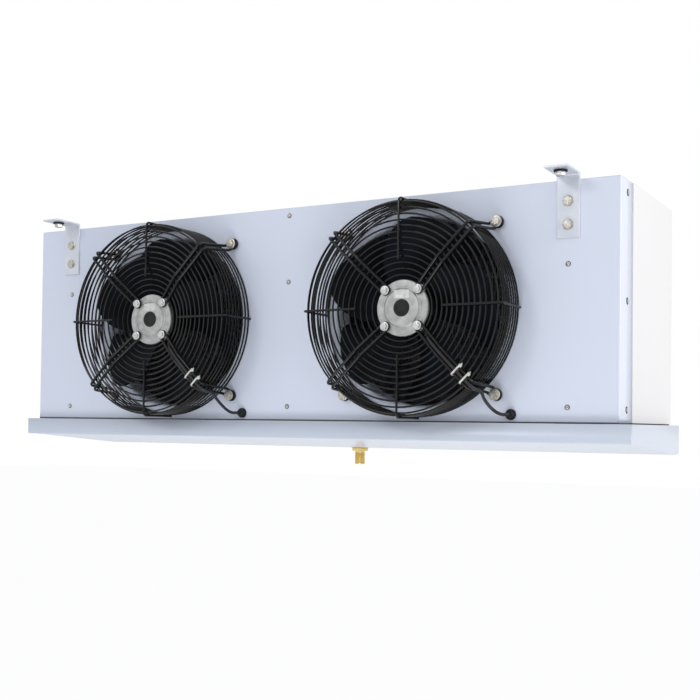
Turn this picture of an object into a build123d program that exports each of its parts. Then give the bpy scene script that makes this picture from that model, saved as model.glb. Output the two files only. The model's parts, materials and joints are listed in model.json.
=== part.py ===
from build123d import *
import os
from math import cos, pi, radians, sin, tan

os.makedirs("parts", exist_ok=True)

# Two-fan walk-in unit cooler that hangs under a cold-room ceiling. Millimetres, +Z up.
# The fans blow towards -Y, X runs along the casing, and the origin lies in the ceiling plane,
# midway between the four hanger holes.

# Casing of folded, painted sheet
casing_length = 1550.0      # over the folded sides of the front panel
casing_height = 490.0
casing_depth = 415.0        # front panel's face to the rear edge
sheet = 1.5                 # painted sheet
side_return = 82.0          # folded sides of the front panel
bottom_lip = 18.0           # front panel's lower fold
top_lip = 25.0              # roof's front fold, behind the front panel
rear_rail = 110.0           # roof's rear fold, which carries the rear hangers
cover_proud = 3.0           # end cover's face beyond the folded side
cover_tuck = 60.0           # end cover's flange behind the folded side
cover_gap = 0.5             # seam between the folded side and the end cover
compartment = 135.0         # pipe and wiring space at each end
plate_flange = 62.0         # outward flanges of the end plates

# Drip tray
tray_gap = 3.0              # seam under the casing
tray_lip_height = 40.0
tray_reach = 14.0           # lip in front of the panel
tray_overhang = 28.0        # beyond the casing at each end
tray_depth = 399.0          # lip to rear wall
tray_hem = 22.0             # flat margin behind the lip
tray_fall = 25.0            # how far the floor falls to the gutter
gutter_width = 62.0         # level gutter along the rear wall

# Drain, a 3/4 inch brass fitting
drain_radius = 13.2
drain_bore = 9.5
drain_length = 34.0         # spigot below its flange
drain_flange = 23.5         # hexagon's corner radius
drain_flange_thick = 9.0
drain_nut_height = 8.0

# Hangers, bent from galvanised bar
hanger_rise = 14.0          # ceiling plane above the roof
hanger_inset = 107.0        # hanger's middle from the casing's end
hanger_width = 49.0
hanger_thick = 4.5
hanger_leg = 118.0          # leg below the roof's level
hanger_flange = 83.0        # flange in front of the casing
hanger_hole = 5.5           # radius for an M10 rod
hanger_hole_inset = 30.0    # hole from the flange's free edge
hanger_bolt_drops = (43.0, 91.0)
hanger_head = 7.5           # M8 head's corner radius
hanger_head_height = 5.5
hanger_washer = 14.0        # rubber washer's radius
hanger_washer_thick = 4.0
hanger_nut = 9.8            # M10 nut's corner radius
hanger_nut_height = 8.0

# Coil
coil_depth = 132.0
coil_inset = 40.0           # fins' rear edges in front of the casing's rear edge
coil_clear_top = 6.0
coil_clear_bottom = 12.0
coil_rows = 4
coil_levels = 5
fin_count = 19
fin_thick = 3.0
fin_free = 34.0             # how far each fin stands out of the tube bundle
tube_radius = 6.5
bend_reach = 34.0
header_radius = 14.0
header_margin = 22.0        # header's ends beyond the first and last circuits
liquid_radius = 8.0
stub_reach = 40.0           # pipe tails behind the casing
tail_swage = 1.2            # tails' free ends are wider by this than their runs
tail_start = 2.0            # wider end begins behind the casing
pipe_hole_clear = 3.0
distributor_radius = 13.0
distributor_height = 30.0
capillary_radius = 1.5
capillary_pitch = 3.4

# Terminal box in the right compartment
box_width = 70.0
box_depth = 80.0
box_height = 140.0
box_set_back = 30.0         # behind the folded side

# Fans
fan_across = 0.525          # axis from the middle, as a share of the coil's half length
fan_up = 0.482              # axis above the casing's lower edge, as a share of its height
nozzle_radius = 203.0
nozzle_depth = 50.0
tip_gap = 7.0               # blade tips inside the nozzle

# Wire guard
guard_height = 108.0        # front of the arms above the panel
guard_radius = 230.5        # stays, where they run back to the panel
guard_sides = 24            # facets of a ring
ring_wire = 2.0             # wire radius of the rings
face_rings = 5
face_inner = 74.0
face_margin = 8.0           # outermost face ring inside the guard's edge
wall_rings = 1
base_clear = 0.3            # lowest ring off the panel
arm_wire = 3.3
arm_half_gap = 8.0          # half the distance between an arm's two wires
arm_kink = 132.0            # where an arm reaches the guard's flat face
corner_margin = 0.5         # arms' corners inside the guard's edge
weld = 0.3                  # how far welded wires sink into each other
stay_wire = 2.6
stay_inner = 100.0

round_sides = 24            # facets of the motor's round pieces
small_sides = 12            # facets of washers, plugs and glands
nozzle_sides = 40           # facets of the panel's openings

# Guard's feet
foot_reach = 24.5           # feet's bolts beyond the guard's edge
foot_washer = 13.5
foot_washer_thick = 7.0
foot_head = 10.5
foot_head_height = 7.0
foot_loop = 14.0            # wire loop beyond the bolt

# External rotor motor
motor_seat = 84.0           # flange's front above the panel
flange_radius = 60.0
flange_thick = 8.0
ear_radius = 12.0
ear_circle = 54.0
boss_radius = 40.0
boss_height = 3.0
cap_radius = 14.0
cap_height = 2.0
shaft_radius = 8.0
shaft_length = 56.0
shaft_fit = 0.05
rotor_radius = 58.0
rotor_length = 80.0
rotor_gap = 1.0
rotor_chamfer = 6.0
motor_head = 9.5
motor_head_height = 6.0

# Blades, pressed from sheet
blade_count = 5
blade_thick = 2.5
blade_angle = 33.0
blade_chord = 190.0
blade_camber = 16.0
blade_flats = 5             # flats across the arch
blade_root_half = 33.0      # half the root's width, seen along the axis
blade_tip_lead = 96.0       # leading corner at the tip
blade_tip_trail = 8.0       # trailing corner at the tip
blade_sickle = 16.0         # hollow of the leading edge
blade_level = 28.0          # middle of the blades above the panel
blade_seat = 0.2            # root's bite into the rotor

# Motor lead, tied to the lower right arm
lead_radius = 3.5
lead_sides = 4
lead_clear = 2.3            # lead above the rings
grommet_x = 212.0
grommet_up = 15.0           # above the panel's lower edge
grommet_radius = 8.5
grommet_height = 10.0
tie_width = 4.5
tie_thick = 1.2
tie_gaps = (2, 3)           # ties lie between these rings and the next

# Small screws
cover_screw = 5.0
cover_screw_height = 2.5
cover_screw_inset = 48.0    # behind the panel's face
cover_screw_margin = 26.0

# Derived places
front = -casing_depth / 2
rear = casing_depth / 2
top = -hanger_rise
bottom = top - casing_height
half = casing_length / 2
end_x = half - compartment
hanger_x = half - hanger_inset
fan_x = fan_across * end_x
seam_y = front + side_return + cover_gap
rail_half = hanger_x + hanger_width / 2 + 8
coil_rear = rear - coil_inset
coil_front = coil_rear - coil_depth
coil_top = top - sheet - coil_clear_top
coil_bottom = bottom + coil_clear_bottom
row_pitch = coil_depth / coil_rows
level_pitch = (coil_top - coil_bottom) / coil_levels
pipe_x = (rail_half + half + cover_proud - sheet) / 2
fan_z = bottom + fan_up * casing_height
tray_top = bottom - tray_gap
tray_front = front - tray_reach
tray_rear = tray_front + tray_depth
tray_half = half + tray_overhang
hem_level = tray_top - tray_lip_height
gutter_level = hem_level - tray_fall
drain_y = tray_rear - gutter_width / 2
tip_radius = nozzle_radius - tip_gap
face_outer = guard_radius - face_margin
arm_corner = guard_radius - corner_margin
foot_radius = guard_radius + foot_reach
grommet_y = grommet_up - fan_up * casing_height
arm_flat = arm_wire * cos(pi / 6)       # half an arm wire's height, flat side up
stay_flat = stay_wire * cos(pi / 6)
face_level = guard_height - arm_flat    # arms' centre line on the guard's face
motor_level = motor_seat + arm_flat
foot_level = foot_washer_thick + arm_flat
lead_lift = weld - arm_flat + lead_radius + lead_clear      # lead's centre line above an arm's


def ring_at(place):
    """Points along the coil's depth or height at which tubes run."""
    row, level = place
    return (coil_front + (row + 0.5) * row_pitch, coil_bottom + (level + 0.5) * level_pitch)


def folded(points, thickness):
    """Section of a folded sheet: a line and its parallel to the left, closed at both ends."""
    line = Polyline(*points)
    return make_face(offset_line(line, points, thickness))


def offset_line(line, points, thickness):
    """Close a folded sheet's section with the mitred parallel of its outer line."""
    inner = []
    last = len(points) - 1
    for i, (x, y) in enumerate(points):
        ahead = unit(points[min(i, last - 1)], points[min(i, last - 1) + 1])
        behind = unit(points[max(i, 1) - 1], points[max(i, 1)])
        left_a = (-ahead[1], ahead[0])
        left_b = (-behind[1], behind[0])
        spread = 1 + left_a[0] * left_b[0] + left_a[1] * left_b[1]
        inner.append((x + thickness * (left_a[0] + left_b[0]) / spread,
                      y + thickness * (left_a[1] + left_b[1]) / spread))
    return [line, Polyline(points[-1], *reversed(inner), points[0])]


def unit(start, end):
    """Direction from one point of a section to the next."""
    dx, dy = end[0] - start[0], end[1] - start[1]
    length = (dx * dx + dy * dy) ** 0.5
    return (dx / length, dy / length)


def block(x0, x1, y0, y1, z0, z1):
    """Box between two corners."""
    size = Box(x1 - x0, y1 - y0, z1 - z0)
    return Pos((x0 + x1) / 2, (y0 + y1) / 2, (z0 + z1) / 2) * size


def mirrored(solid, side):
    """The piece itself for side +1, its mirror image across X for side -1."""
    return solid if side > 0 else mirror(solid, about=Plane.YZ)


def rod(points, radius, flat_towards):
    """Wire of hexagonal section along straight runs with mitred corners, one flat facing a direction."""
    path = Polyline(*points)
    along = Vector(*points[1]) - Vector(*points[0])
    side = along.cross(Vector(*flat_towards))
    section = Plane(origin=points[0], x_dir=side, z_dir=along) * RegularPolygon(radius, 6)
    return sweep(section, path=path, transition=Transition.RIGHT)


def bent_tube(points, radius):
    """Lead of round-cornered route: each arc is as large as its two runs allow."""
    places = [Vector(*p) for p in points]
    radii = []
    for before, here, after in zip(places, places[1:], places[2:]):
        run_in, run_out = here - before, after - here
        turn = radians(run_in.get_angle(run_out))
        radii.append(0.45 * min(run_in.length, run_out.length) / tan(turn / 2))
    path = FilletPolyline(*places, radius=radii)
    start = Plane(origin=places[0], z_dir=places[1] - places[0])
    tube = sweep(start * RegularPolygon(radius, lead_sides), path=path)
    section = RegularPolygon(radius, lead_sides).area
    print("lead: arcs", [round(r, 1) for r in radii], "length", round(path.length, 1),
          "volume over section x length", round(tube.volume / (section * path.length), 4))
    return tube


def fan_place(side):
    """Plane on the panel at a fan's axis: x to the right, y up, z out towards the room."""
    return Plane(origin=(side * fan_x, front, fan_z), x_dir=(1, 0, 0), z_dir=(0, -1, 0))


def front_panel():
    """Panel with folded sides, a lower lip and two openings with drawn collars."""
    outline = [(-half, front + side_return), (-half, front), (half, front), (half, front + side_return)]
    panel = Pos(0, 0, bottom) * extrude(folded(outline, sheet), casing_height)
    panel += block(-end_x, end_x, front + sheet, front + bottom_lip, bottom, bottom + sheet)
    opening = RegularPolygon(nozzle_radius, nozzle_sides)
    rim = RegularPolygon(nozzle_radius + sheet, nozzle_sides)
    for side in (-1, 1):
        place = fan_place(side)
        panel += place * extrude(rim, -nozzle_depth)
        panel -= place * Pos(0, 0, sheet) * extrude(opening, -nozzle_depth - 2 * sheet)
    return panel


def top_panel():
    """Roof with a front fold between the end plates and a rear rail for the hangers."""
    outline = [(rear, top - rear_rail), (rear, top), (front + sheet, top), (front + sheet, top - top_lip)]
    width = half + cover_proud
    roof = Pos(-width, 0, 0) * extrude(Plane.YZ * folded(outline, sheet), 2 * width)
    for side in (-1, 1):
        corner = block(half - sheet, width + sheet, front, seam_y, top - top_lip - sheet, top + sheet)
        lip = block(end_x, half, front, front + 3 * sheet, top - top_lip - sheet, top - sheet)
        rail = block(rail_half, width + sheet, rear - 2 * sheet, rear + sheet,
                     top - rear_rail - sheet, top - sheet)
        for cut in (corner, lip, rail):
            roof -= mirrored(cut, side)
    return roof


def end_cover(side):
    """Cover over an end compartment; its front flange tucks behind the panel's folded side."""
    outline = [(half - sheet, seam_y - cover_tuck), (half - sheet, seam_y), (half + cover_proud, seam_y),
               (half + cover_proud, rear), (rail_half, rear)]
    cover = Pos(0, 0, bottom) * extrude(folded(outline, sheet), casing_height - sheet)
    if side < 0:
        for radius, level in ((header_radius, suction_level), (liquid_radius, liquid_level)):
            hole = disc(radius + pipe_hole_clear, 4 * sheet)
            cover -= Pos(pipe_x, rear + 2 * sheet, level) * Rot(90, 0, 0) * hole
    return mirrored(cover, side)


def end_plate(side):
    """Plate that carries the coil, with outward flanges behind the panel and the rear rail."""
    outline = [(end_x + plate_flange, rear - sheet), (end_x, rear - sheet),
               (end_x, front + sheet), (end_x + plate_flange, front + sheet)]
    foot = hem_level + sheet
    plate = Pos(0, 0, foot) * extrude(folded(outline, sheet), top - sheet - foot)
    behind_tray = block(end_x - sheet, half, tray_rear - 2 * tray_hem, rear, foot - sheet, bottom)
    return mirrored(plate - behind_tray, side)


def centre_divider():
    """Partition between the two fans' air spaces, with a flange behind the panel."""
    outline = [(0, coil_front), (0, front + sheet), (top_lip, front + sheet)]
    base = bottom + sheet
    height = top - sheet - base
    divider = Pos(0, 0, base) * extrude(folded(outline, sheet), height)
    behind_lip = block(-sheet, top_lip + sheet, front, front + 3 * sheet, top - top_lip, top)
    return divider - behind_lip


def fin_pack():
    """Fins that stand out in front of and behind the tube bundle, from one comb-shaped section."""
    pitch = (2 * end_x - fin_thick) / (fin_count - 1)
    starts = [-end_x + i * pitch for i in range(fin_count)]
    rear_side, front_side = [], []
    for x in starts:
        rear_side += [(x, coil_rear - fin_free), (x, coil_rear),
                      (x + fin_thick, coil_rear), (x + fin_thick, coil_rear - fin_free)]
        front_side += [(x, coil_front + fin_free), (x, coil_front),
                       (x + fin_thick, coil_front), (x + fin_thick, coil_front + fin_free)]
    outline = make_face(Polyline(*rear_side[1:-1], *reversed(front_side[1:-1]), close=True))
    return Pos(0, 0, coil_bottom) * extrude(outline, coil_top - coil_bottom)


def return_bends(side):
    """Bends that join neighbouring rows: the outer pairs at the right end, the inner pair at the left."""
    base = end_x + sheet
    pairs = range(0, coil_rows - 1, 2) if side > 0 else range(1, coil_rows - 2, 2)
    bends = []
    for level in range(coil_levels):
        for row in pairs:
            y0, z = ring_at((row, level))
            y1 = y0 + row_pitch
            route = [(base, y0, z), (base + bend_reach, y0, z), (base + bend_reach, y1, z), (base, y1, z)]
            bends.append(mirrored(rod(route, tube_radius, (0, 0, 1)), side))
    return bends


def tail(start_y, level, radius):
    """Pipe through the left cover's rear, swaged wider where it stands free."""
    run = rear + tail_start - start_y
    end = stub_reach - tail_start
    pipe = Pos(0, start_y + run / 2, 0) * Rot(90, 0, 0) * Cylinder(radius - tail_swage, run)
    pipe += Pos(0, rear + tail_start + end / 2, 0) * Rot(90, 0, 0) * Cylinder(radius, end)
    return Pos(-pipe_x, 0, level) * pipe


def suction_header():
    """Upright header fed by the front row, with its tail through the left cover's rear."""
    y, high = ring_at((0, coil_levels - 1))
    foot = suction_level - header_radius
    header = Pos(-pipe_x, y, foot) * disc(header_radius, high + header_margin - foot)
    header += tail(y, suction_level, header_radius)
    for level in range(coil_levels):
        z = ring_at((0, level))[1]
        header += rod([(-end_x - sheet, y, z), (-pipe_x, y, z)], tube_radius, (0, 0, 1))
    return header


def liquid_distributor():
    """Brass distributor under the roof with its liquid tail through the left cover's rear."""
    y = ring_at((coil_rows - 1, 0))[0]
    body = Pos(-pipe_x, y, liquid_level - distributor_height / 2) * disc(distributor_radius, distributor_height)
    return body + tail(y, liquid_level, liquid_radius)


def capillary_tubes():
    """One capillary from the distributor to each circuit of the rear row."""
    under = liquid_level - distributor_height / 2
    tubes = []
    for level in range(coil_levels):
        y, z = ring_at((coil_rows - 1, level))
        y += (level - (coil_levels - 1) / 2) * capillary_pitch
        route = [(-pipe_x, y, under), (-pipe_x, y, z), (-end_x - sheet, y, z)]
        tubes.append(rod(route, capillary_radius, (0, 1, 0)))
    return tubes


def terminal_box():
    """Wiring box on the right end plate."""
    x = end_x + sheet
    y = seam_y + box_set_back
    z = (top + bottom) / 2
    return block(x, x + box_width, y, y + box_depth, z - box_height / 2, z + box_height / 2)


def drip_tray():
    """Tray with a level margin, a floor that falls to the rear and a level gutter with the drain hole."""
    gutter_y = tray_rear - gutter_width
    outer = [(tray_front, tray_top), (tray_front, hem_level), (tray_front + tray_hem, hem_level),
             (gutter_y, gutter_level), (tray_rear, gutter_level), (tray_rear, tray_top)]
    shell = folded(outer, sheet)
    floor = Pos(-tray_half, 0, 0) * extrude(Plane.YZ * shell, 2 * tray_half)
    wall = Plane.YZ * make_face(Polyline(*outer, close=True))
    for start in (-tray_half, tray_half - sheet):
        floor += Pos(start, 0, 0) * extrude(wall, sheet)
    hole = Cylinder(drain_radius, 4 * sheet)
    return floor - Pos(0, drain_y, gutter_level + sheet / 2) * hole


def drain_fitting():
    """Brass spigot with a hexagon under the tray and a threaded neck inside it."""
    neck = sheet + drain_nut_height
    fitting = extrude(RegularPolygon(drain_flange, 6), -drain_flange_thick)
    fitting += Pos(0, 0, -(drain_flange_thick + drain_length) / 2 + neck / 2) * Cylinder(
        drain_radius, drain_flange_thick + drain_length + neck)
    fitting = drilled(fitting, drain_bore, 2 * (drain_flange_thick + drain_length))
    return Pos(0, drain_y, gutter_level) * fitting


def drain_locknut():
    """Nut on the fitting's neck, on the gutter's floor."""
    nut = extrude(RegularPolygon(drain_flange, 6), drain_nut_height)
    return Pos(0, drain_y, gutter_level + sheet) * drilled(nut, drain_radius, drain_nut_height)


def hanger(side, face):
    """Bent bar: a leg on the casing and a flange under the ceiling with the rod's hole."""
    reach = casing_depth / 2 + hanger_flange
    outline = [(-reach, 0), (-casing_depth / 2, 0), (-casing_depth / 2, top - hanger_leg)]
    bar = extrude(Plane.YZ * folded(outline, -hanger_thick), hanger_width / 2, both=True)
    bar = bar - Pos(0, -hanger_hole_y, 0) * Cylinder(hanger_hole, 4 * hanger_thick)
    return Pos(side * hanger_x, 0, 0) * (bar if face > 0 else mirror(bar, about=Plane.XZ))


def hex_head(corner, height):
    """Hexagon that stands on the XY plane."""
    return extrude(RegularPolygon(corner, 6), height)


def disc(radius, height, sides=small_sides):
    """Small round piece that stands on the XY plane, or hangs under it where the height is negative."""
    return extrude(RegularPolygon(radius, sides), height)


def drilled(solid, radius, height):
    """The same piece with a hole through it along Z, whose flats clear a round bar of that radius."""
    return solid - Pos(0, 0, -height) * disc(radius / cos(pi / small_sides), 2 * height)


def hanger_bolts():
    """Two heads on each hanger's leg."""
    head = hex_head(hanger_head, hanger_head_height)
    bolts = []
    for side in (-1, 1):
        for face in (-1, 1):
            y = face * (casing_depth / 2 + hanger_thick)
            for drop in hanger_bolt_drops:
                bolts.append(Pos(side * hanger_x, y, top - drop) * Rot(-90 * face, 0, 0) * head)
    return bolts


def under_hangers(piece, gap):
    """One copy under each hanger's flange, centred on its hole."""
    level = -hanger_thick - gap
    return [Pos(side * hanger_x, face * hanger_hole_y, level) * piece for side in (-1, 1) for face in (-1, 1)]


def hanger_washers():
    """Rubber washers under the hangers' flanges."""
    washer = drilled(disc(hanger_washer, -hanger_washer_thick), hanger_hole, hanger_washer_thick)
    return under_hangers(washer, 0)


def hanger_nuts():
    """Nuts under the rubber washers."""
    nut = drilled(extrude(RegularPolygon(hanger_nut, 6), -hanger_nut_height), hanger_hole, hanger_nut_height)
    return under_hangers(nut, hanger_washer_thick)


def cover_screws():
    """Three screws through each folded side into the end cover's flange."""
    head = hex_head(cover_screw, cover_screw_height)
    levels = (bottom + cover_screw_margin, (top + bottom) / 2, top - cover_screw_margin)
    return [Pos(side * half, front + cover_screw_inset, z) * Rot(0, 90 * side, 0) * head
            for side in (-1, 1) for z in levels]


def guard_profile():
    """Radius and front level of each ring, from the middle of the guard's face back to the panel."""
    rings = []
    for i in range(face_rings):
        radius = face_inner + i * (face_outer - face_inner) / (face_rings - 1)
        rings.append((radius, arm_level(radius) - arm_flat + weld))
    wall = guard_radius - stay_flat + weld
    base = base_clear + 2 * ring_wire
    lowest = face_level - arm_flat + weld
    for i in range(wall_rings + 1):
        rings.append((wall, base + i * (lowest - base) / (wall_rings + 1)))
    return rings


def arm_level(radius):
    """Height of an arm's centre line over the panel at a radius."""
    if radius >= arm_kink:
        return face_level
    start = ear_circle + ear_radius / 2
    share = max(0.0, (radius - start) / (arm_kink - start))
    return motor_level + share * (face_level - motor_level)


def guard_rings(side):
    """Concentric rings of the guard, with a corner under every arm and stay."""
    rings = []
    for radius, level in guard_profile():
        ring = RegularPolygon(radius, guard_sides) - RegularPolygon(radius - 2 * ring_wire, guard_sides)
        rings.append(fan_place(side) * Pos(0, 0, level - 2 * ring_wire) * extrude(ring, 2 * ring_wire))
    return rings


def guard_arms(side):
    """Four arms, each one wire from the motor out, back to the panel, round the bolt and back again."""
    inner = ear_circle - ear_radius / 2
    line = [(inner, motor_level), (ear_circle + ear_radius / 2, motor_level), (arm_kink, face_level),
            (arm_corner, face_level), (foot_radius - foot_loop, foot_level),
            (foot_radius + foot_loop, foot_level)]
    route = [(r, arm_half_gap, h) for r, h in line] + [(r, -arm_half_gap, h) for r, h in reversed(line)]
    arm = rod(route, arm_wire, (0, 0, 1))
    return [fan_place(side) * Rot(0, 0, 45 + 90 * i) * arm for i in range(4)]


def guard_stays(side):
    """Four short stays over the guard's edge, between the arms."""
    level = face_level - arm_flat + stay_flat
    stay = rod([(stay_inner, 0, level), (guard_radius, 0, level), (guard_radius, 0, base_clear)],
               stay_wire, (0, 0, 1))
    return [fan_place(side) * Rot(0, 0, 90 * i) * stay for i in range(4)]


def round_pattern(piece, radius, level, side):
    """Four copies on a circle, between the upright and the level."""
    return [fan_place(side) * Rot(0, 0, 45 + 90 * i) * Pos(radius, 0, level) * piece for i in range(4)]


def foot_washers(side):
    """Rubber washers between the panel and the guard's feet."""
    return round_pattern(disc(foot_washer, foot_washer_thick), foot_radius, 0, side)


def foot_bolts(side):
    """Bolt heads on the wire loops of the feet."""
    return round_pattern(hex_head(foot_head, foot_head_height), foot_radius, foot_level + arm_flat, side)


def motor_bolts(side):
    """Bolt heads that clamp the arms on the motor's ears."""
    return round_pattern(hex_head(motor_head, motor_head_height), ear_circle, motor_level + arm_flat, side)


def motor_stator(side):
    """Die-cast flange with four ears, a boss and the fixed shaft that the rotor turns on."""
    outline = RegularPolygon(flange_radius, round_sides)
    for i in range(4):
        outline += Rot(0, 0, 45 + 90 * i) * Pos(ear_circle, 0) * RegularPolygon(ear_radius, round_sides // 2)
    flange = Pos(0, 0, motor_seat - flange_thick) * extrude(outline, flange_thick)
    flange += Pos(0, 0, motor_seat) * disc(boss_radius, boss_height, round_sides)
    flange += Pos(0, 0, motor_seat - flange_thick) * extrude(Circle(shaft_radius), -shaft_length)
    return fan_place(side) * flange


def motor_cap(side):
    """Plug over the shaft's end in the middle of the boss."""
    return fan_place(side) * Pos(0, 0, motor_seat + boss_height) * disc(cap_radius, cap_height)


def rotor(side):
    """Cup of the external rotor, closed at the rear, with the shaft's bore."""
    can = disc(rotor_radius, -rotor_length, round_sides)
    can = chamfer(can.faces().sort_by(Axis.Z)[0].edges(), rotor_chamfer)
    can -= extrude(Circle(shaft_radius + shaft_fit), -(shaft_length + rotor_gap))
    return fan_place(side) * Pos(0, 0, motor_seat - flange_thick - rotor_gap) * can


def fan_blades(side):
    """Five cambered blades: a sheet arched in flats at the blade angle, cut to a sickle outline."""
    arch = []
    for i in range(blade_flats + 1):
        across = 2 * i / blade_flats - 1
        arch.append((across * blade_chord / 2, blade_camber * (1 - across * across)))
    inner = [(x, y - blade_thick) for x, y in reversed(arch)]
    section = make_face(Polyline(*arch, *inner, close=True))
    strip = Plane.YZ * Rot(0, 0, blade_angle) * section
    plate = extrude(strip, 1.2 * tip_radius)
    lead_root, lead_tip = (0, -blade_root_half), (tip_radius, -blade_tip_lead)
    middle = ((lead_root[0] + lead_tip[0]) / 2, (lead_root[1] + lead_tip[1]) / 2 + blade_sickle)
    lead = ThreePointArc(lead_root, middle, lead_tip)
    far_x = 1.2 * tip_radius
    trail_root, trail_tip = (0, blade_root_half), (far_x, blade_root_half + blade_tip_trail)
    rest = Polyline(lead_tip, (far_x, -blade_tip_lead), trail_tip, trail_root, lead_root)
    deep = blade_chord
    outline = extrude(make_face([lead, rest]), deep, both=True)
    tip = Pos(0, 0, -deep) * disc(tip_radius, 2 * deep, nozzle_sides)
    blade = plate & outline & tip
    blade -= Pos(0, 0, -deep) * disc(rotor_radius - blade_seat, 2 * deep, round_sides)
    blade = Pos(0, 0, blade_level) * blade
    return [fan_place(side) * Rot(0, 0, 90 + 360 / blade_count * i) * blade for i in range(blade_count)]


def lead_route():
    """Points of a motor lead: under the first ring, between the lower right arm's wires, to the grommet."""
    start = ear_circle + ear_radius + cover_gap
    flange_level = motor_seat - flange_thick / 2 - 1
    along = [(start, flange_level), (start + 15, flange_level + 1), (start + 30, arm_level(100) + lead_lift),
             (arm_kink + 10, face_level + lead_lift), (arm_corner - 8, face_level + lead_lift),
             (arm_corner + 14, face_level - 4), (arm_corner + 17, face_level - 36)]
    slant = cos(radians(45))
    route = [(r * slant, -r * slant, h) for r, h in along]
    foot = foot_radius * slant
    route += [(foot - 9, -foot - 12, 46), (foot + 4, grommet_y + 8, 30), (grommet_x - 10, grommet_y - 1, 30),
              (grommet_x, grommet_y, 22), (grommet_x, grommet_y, grommet_height)]
    return route


def fan_lead(side):
    """Motor lead from the flange to the panel."""
    return fan_place(side) * bent_tube(lead_route(), lead_radius)


def lead_grommet(side):
    """Gland where the lead enters the panel."""
    return fan_place(side) * Pos(grommet_x, grommet_y, 0) * disc(grommet_radius, grommet_height)


def lead_ties(side):
    """Bands round the lead and the arm's two wires."""
    width = 2 * (arm_half_gap + arm_wire)
    height = arm_flat + lead_lift + lead_radius + cover_gap
    band = Rectangle(width + 2 * tie_thick, height + 2 * tie_thick) - Rectangle(width, height)
    band = extrude(Plane.YZ * band, tie_width / 2, both=True)
    level = face_level - arm_flat + height / 2
    pitch = (face_outer - face_inner) / (face_rings - 1)
    places = [face_inner - ring_wire + (gap + 0.5) * pitch for gap in tie_gaps]
    return [fan_place(side) * Rot(0, 0, -45) * Pos(r, 0, level) * band for r in places]


hanger_hole_y = casing_depth / 2 + hanger_flange - hanger_hole_inset
suction_level = ring_at((0, 0))[1] - header_radius - 2 * tube_radius
liquid_level = ring_at((0, coil_levels - 1))[1] + header_margin

nodes = {
    "front_panel": front_panel(),
    "top_panel": top_panel(),
    "centre_divider": centre_divider(),
    "fin_pack": fin_pack(),
    "suction_header": suction_header(),
    "liquid_distributor": liquid_distributor(),
    "capillary_tubes": capillary_tubes(),
    "terminal_box": terminal_box(),
    "drip_tray": drip_tray(),
    "drain_fitting": drain_fitting(),
    "drain_locknut": drain_locknut(),
    "hanger_bolts": hanger_bolts(),
    "hanger_washers": hanger_washers(),
    "hanger_nuts": hanger_nuts(),
    "cover_screws": cover_screws(),
}
sides = {"left": -1, "right": 1}
paired = [end_cover, end_plate, return_bends, guard_rings, guard_arms, guard_stays, foot_washers, foot_bolts,
          motor_bolts, motor_stator, motor_cap, rotor, fan_blades, fan_lead, lead_grommet, lead_ties]
for name, side in sides.items():
    for make in paired:
        nodes[f"{make.__name__}_{name}"] = make(side)
    for face_name, face in (("front", 1), ("rear", -1)):
        nodes[f"hanger_{face_name}_{name}"] = hanger(side, face)

for name, piece in nodes.items():
    solid = Compound(children=piece) if isinstance(piece, list) else piece
    export_step(solid, f"parts/{name}.step")
print(len(nodes), "nodes")
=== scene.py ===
# %% [markdown]
# # A two-fan unit cooler, dressed for rendering
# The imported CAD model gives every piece's place. This notebook keeps that frame and dresses it:
# rolled sheet edges, round guard wires, swept blades, a die-cast motor flange and painted or bare metals.
# Shapes are surfaces worked out with numpy, so each one can be read as a formula.

# %% Load the frame
import json

import bmesh
import bpy
import numpy as np
from mathutils import Matrix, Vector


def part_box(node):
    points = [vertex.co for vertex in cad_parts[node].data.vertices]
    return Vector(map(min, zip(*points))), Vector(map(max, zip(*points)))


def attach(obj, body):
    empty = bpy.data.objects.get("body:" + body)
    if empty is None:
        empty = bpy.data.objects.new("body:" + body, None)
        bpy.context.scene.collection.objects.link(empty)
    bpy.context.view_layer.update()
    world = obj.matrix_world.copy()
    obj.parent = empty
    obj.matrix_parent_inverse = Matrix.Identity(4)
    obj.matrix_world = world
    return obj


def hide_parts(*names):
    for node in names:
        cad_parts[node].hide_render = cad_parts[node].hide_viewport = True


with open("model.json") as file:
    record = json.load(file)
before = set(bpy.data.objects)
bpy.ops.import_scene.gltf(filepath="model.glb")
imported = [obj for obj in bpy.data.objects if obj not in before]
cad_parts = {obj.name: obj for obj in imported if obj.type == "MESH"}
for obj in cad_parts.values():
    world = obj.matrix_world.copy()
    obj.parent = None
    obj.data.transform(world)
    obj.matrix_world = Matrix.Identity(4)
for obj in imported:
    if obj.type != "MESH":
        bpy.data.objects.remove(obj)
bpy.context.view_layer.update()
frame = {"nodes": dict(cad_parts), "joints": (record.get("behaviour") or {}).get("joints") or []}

# %% [markdown]
# ## The camera
# A camera is a matrix: three columns for its right, up and backward directions and one for its place.
# It stands low and to the right, level with the drip tray, as a person looks up at a ceiling unit.
# Working the columns out from a heading, a tilt and a roll keeps the view easy to change.

# %% Camera
scene = bpy.context.scene


def aimed(thing, right, up, back, place):
    """Object in the scene whose matrix has these three directions and this place as its columns."""
    matrix = np.eye(4)
    matrix[:3] = np.column_stack([right, up, back, place])
    thing.matrix_world = Matrix(matrix.tolist())
    scene.collection.objects.link(thing)


camera_place = np.array([1.3764, -2.3677, -0.5149])
heading, tilt, roll = np.radians([29.25, 1.297, 0.712])
level_ahead = np.array([-np.sin(heading), np.cos(heading), 0.0])
level_right = np.array([np.cos(heading), np.sin(heading), 0.0])
world_up = np.array([0.0, 0.0, 1.0])
ahead = level_ahead * np.cos(tilt) + world_up * np.sin(tilt)
lifted_up = world_up * np.cos(tilt) - level_ahead * np.sin(tilt)
right = level_right * np.cos(roll) + lifted_up * np.sin(roll)
up = lifted_up * np.cos(roll) - level_right * np.sin(roll)

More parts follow.
